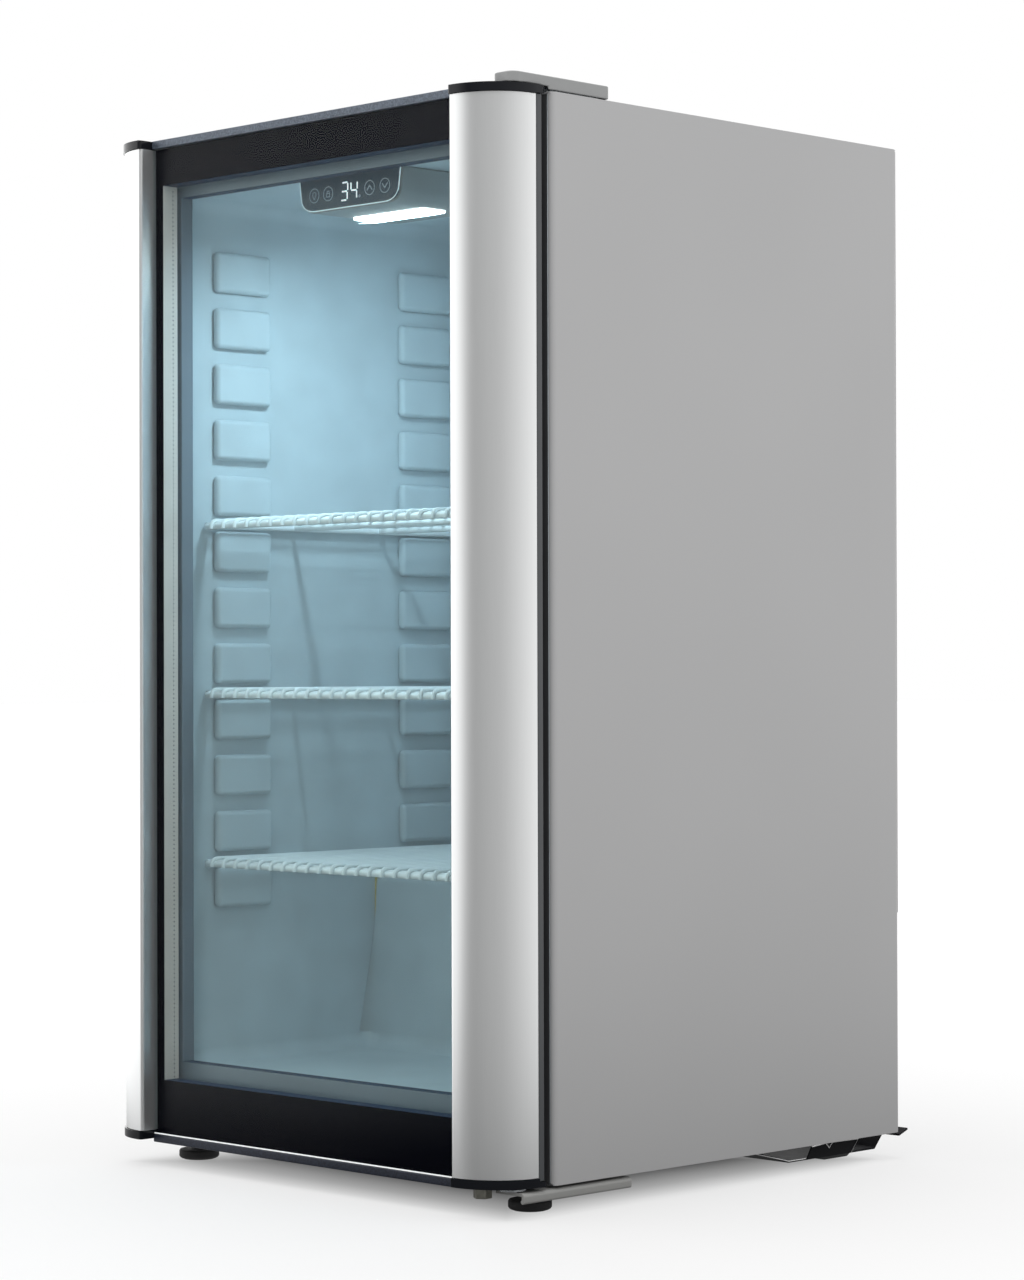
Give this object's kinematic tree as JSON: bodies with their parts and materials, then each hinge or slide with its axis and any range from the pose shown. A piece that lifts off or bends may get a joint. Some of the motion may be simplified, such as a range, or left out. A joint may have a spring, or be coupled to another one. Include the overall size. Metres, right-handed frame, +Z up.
{
  "type": "glass-door beverage cooler",
  "caption": "Free-standing drinks cooler with a double-glazed hinged door between rounded aluminium pillars, wire shelves, ceiling lamp with touch display, and a compressor at the back.",
  "frame": {"origin": "centre of the footprint on the floor, between the feet", "axes": "+Z up along the cabinet's height, +X across to the hinge side as seen from the front, -Y out through the door"},
  "size_m": [0.448, 0.4648, 0.818],
  "materials": {
    "painted_steel": "satin mid-grey powder paint",
    "galvanised_steel": "zinc-coated sheet, faint spangle",
    "foam": "cut polyurethane foam",
    "liner_plastic": "moulded sheet, soft gloss",
    "coated_wire": "white plastic coating on steel wire",
    "anodised_aluminium": "satin anodised, fine lengthwise grain",
    "black_gloss": "polished black",
    "black_plastic": "fine moulded texture",
    "door_glass": "clear float glass with a black printed border",
    "bare_aluminium": "mill finish",
    "black_rubber": "matt",
    "zinc_steel": "bright zinc plate",
    "grey_plastic": "light grey, fine moulded texture",
    "painted_bracket": "grey painted folded plate",
    "copper": "drawn copper tube, slightly dulled",
    "compressor_paint": "black enamel on a pressed steel shell",
    "white_plastic": "white moulding",
    "touch_panel": "dark slate face with lit marks",
    "lamp_diffuser": "lit white diffuser",
    "circuit_board": "green solder mask"
  },
  "bodies": {
    "cabinet": {"side_panel_right": "painted_steel", "side_panel_left": "painted_steel", "top_panel": "painted_steel", "back_panel": "painted_steel", "base_pan": "galvanised_steel", "machine_bulkhead": "galvanised_steel", "insulation": "foam", "liner": "liner_plastic", "rear_foot_right": "black_plastic", "rear_foot_left": "black_plastic", "starter_relay_box": "black_plastic", "drip_tray": "black_plastic", "cord_gland": "black_plastic", "temperature_probe": "black_plastic", "fan_motor": "black_plastic", "evaporator_plate": "bare_aluminium", "compressor_grommet_1": "black_rubber", "compressor_grommet_2": "black_rubber", "compressor_grommet_3": "black_rubber", "compressor_grommet_4": "black_rubber", "hinge_plate_top": "zinc_steel", "hinge_pin_bottom": "zinc_steel", "hinge_screw_bottom_1": "zinc_steel", "hinge_screw_bottom_2": "zinc_steel", "hinge_cover": "grey_plastic", "control_housing": "grey_plastic", "hinge_bracket_bottom": "painted_bracket", "condenser_pipe": "copper", "filter_drier": "copper", "suction_pipe": "copper", "discharge_pipe": "copper", "compressor": "compressor_paint", "compressor_base": "compressor_paint", "air_duct_cover": "white_plastic", "fan_guard": "white_plastic", "control_panel": "touch_panel", "lamp_lens": "lamp_diffuser", "control_board": "circuit_board"},
    "door": {"pillar_right": "anodised_aluminium", "pillar_left": "anodised_aluminium", "end_cap_bottom_right": "black_gloss", "end_cap_top_right": "black_gloss", "end_cap_bottom_left": "black_gloss", "end_cap_top_left": "black_gloss", "hinge_bush_bottom": "black_plastic", "hinge_bush_top": "black_plastic", "front_glass": "door_glass", "glass_spacer": "bare_aluminium", "rear_glass": "door_glass", "door_frame": "black_plastic", "door_trim_bottom": "black_gloss", "door_trim_top": "black_gloss", "door_gasket": "black_rubber", "door_stop_stud": "zinc_steel"},
    "fan": {"fan_rotor": "black_plastic"},
    "foot_left": {"front_foot_left": "black_rubber"},
    "foot_right": {"front_foot_right": "black_rubber"},
    "lower_shelf": {"shelf_lower": "coated_wire"},
    "middle_shelf": {"shelf_middle": "coated_wire"},
    "upper_shelf": {"shelf_upper": "coated_wire"}
  },
  "joints": [
    {"name": "door_swing", "type": "hinge", "parent": "cabinet", "child": "door", "pos_m": [0.208, -0.20265, 0], "axis": [0, 0, 1], "range_deg": [0, 98]},
    {"name": "fan_spin", "type": "hinge", "parent": "cabinet", "child": "fan", "pos_m": [0, 0.13935, 0.647], "axis": [0, 1, 0], "continuous": true},
    {"name": "foot_left_turn", "type": "hinge", "parent": "cabinet", "child": "foot_left", "pos_m": [-0.187, -0.16265, 0], "axis": [0, 0, 1], "continuous": true},
    {"name": "foot_right_turn", "type": "hinge", "parent": "cabinet", "child": "foot_right", "pos_m": [0.187, -0.16265, 0], "axis": [0, 0, 1], "continuous": true},
    {"name": "lower_shelf_slide", "type": "slide", "parent": "cabinet", "child": "lower_shelf", "axis": [0, -1, 0], "range_m": [0, 0.018]},
    {"name": "middle_shelf_slide", "type": "slide", "parent": "cabinet", "child": "middle_shelf", "axis": [0, -1, 0], "range_m": [0, 0.018]},
    {"name": "upper_shelf_slide", "type": "slide", "parent": "cabinet", "child": "upper_shelf", "axis": [0, -1, 0], "range_m": [0, 0.018]}
  ]
}
